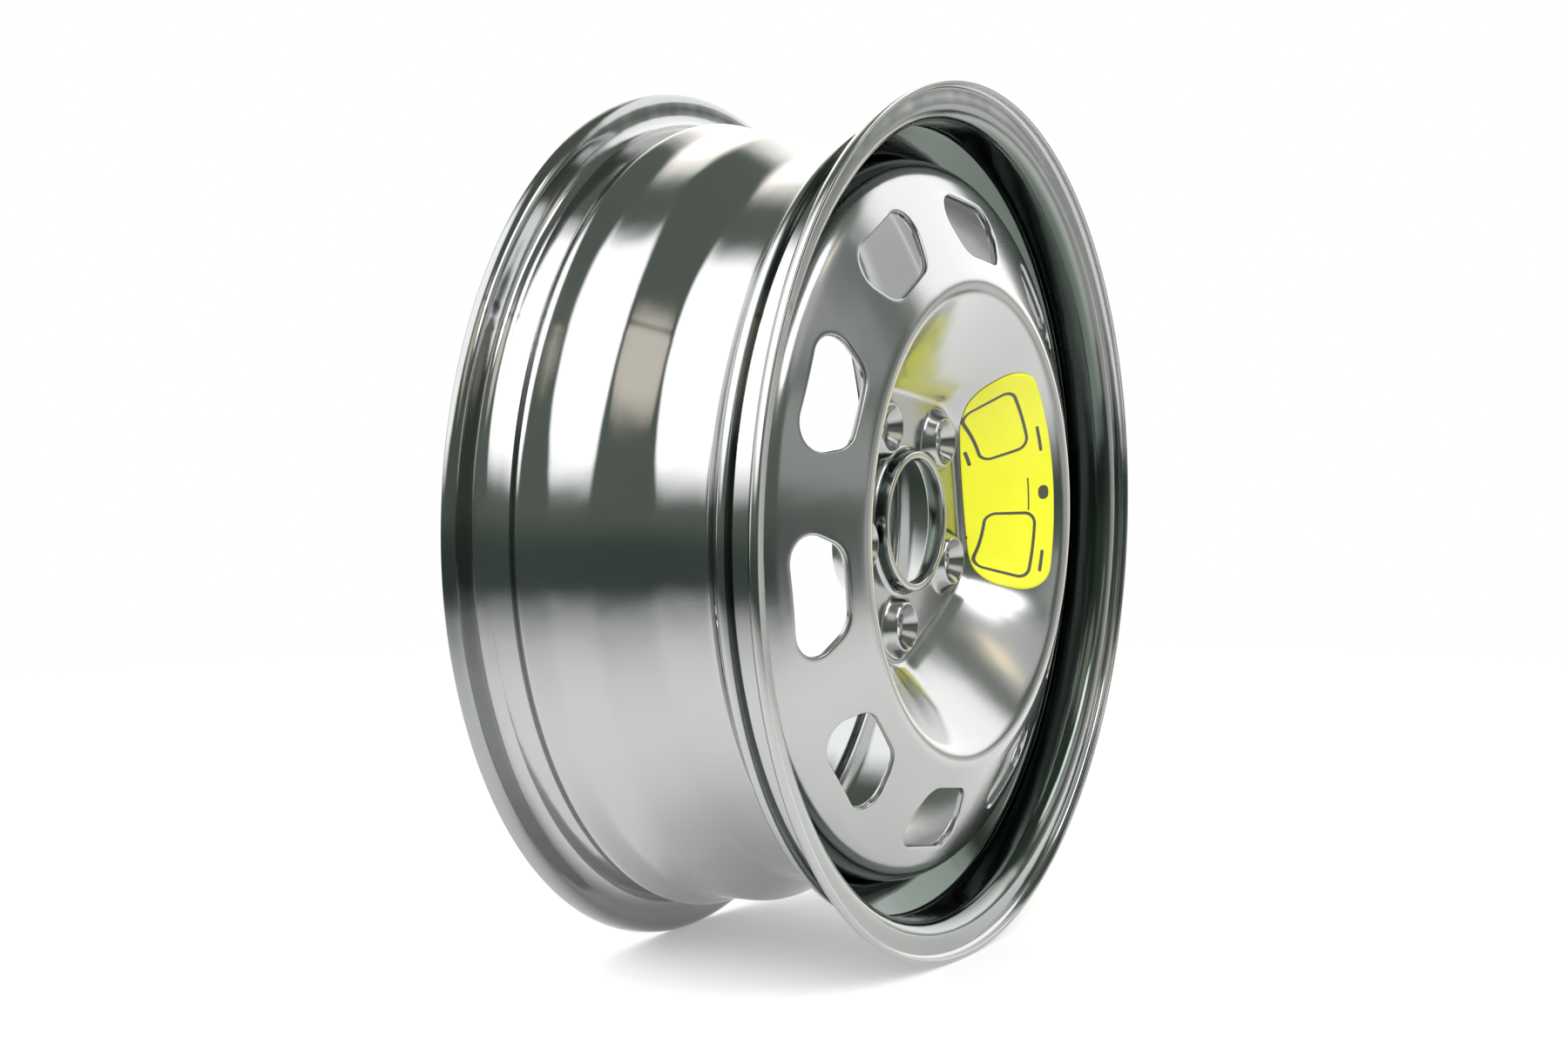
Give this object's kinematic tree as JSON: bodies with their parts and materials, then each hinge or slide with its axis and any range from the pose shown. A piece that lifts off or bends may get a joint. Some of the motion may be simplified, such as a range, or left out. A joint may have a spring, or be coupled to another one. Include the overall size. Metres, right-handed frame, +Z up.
{
  "type": "car wheel",
  "caption": "Bare pressed-steel car wheel: rolled drop-centre rim welded to a dished disc with window holes, bolt seats and a centre bore, plus a plain yellow label.",
  "frame": {"origin": "on the wheel's axis, midway between the two bead flanges", "axes": "+Y along the axis towards the hub (inboard), -Y is the outboard face, +Z up as the wheel stands in use"},
  "size_m": [0.441, 0.1705, 0.441],
  "materials": {
    "black_ecoat": "gloss black electro-coat on pressed steel",
    "weld_ecoat": "satin black electro-coat on rippled weld metal",
    "yellow_vinyl": "satin printed vinyl film"
  },
  "bodies": {
    "root": {"rim": "black_ecoat", "wheel_disc": "black_ecoat", "weld_beads": "weld_ecoat", "dish_label": "yellow_vinyl"}
  },
  "joints": []
}
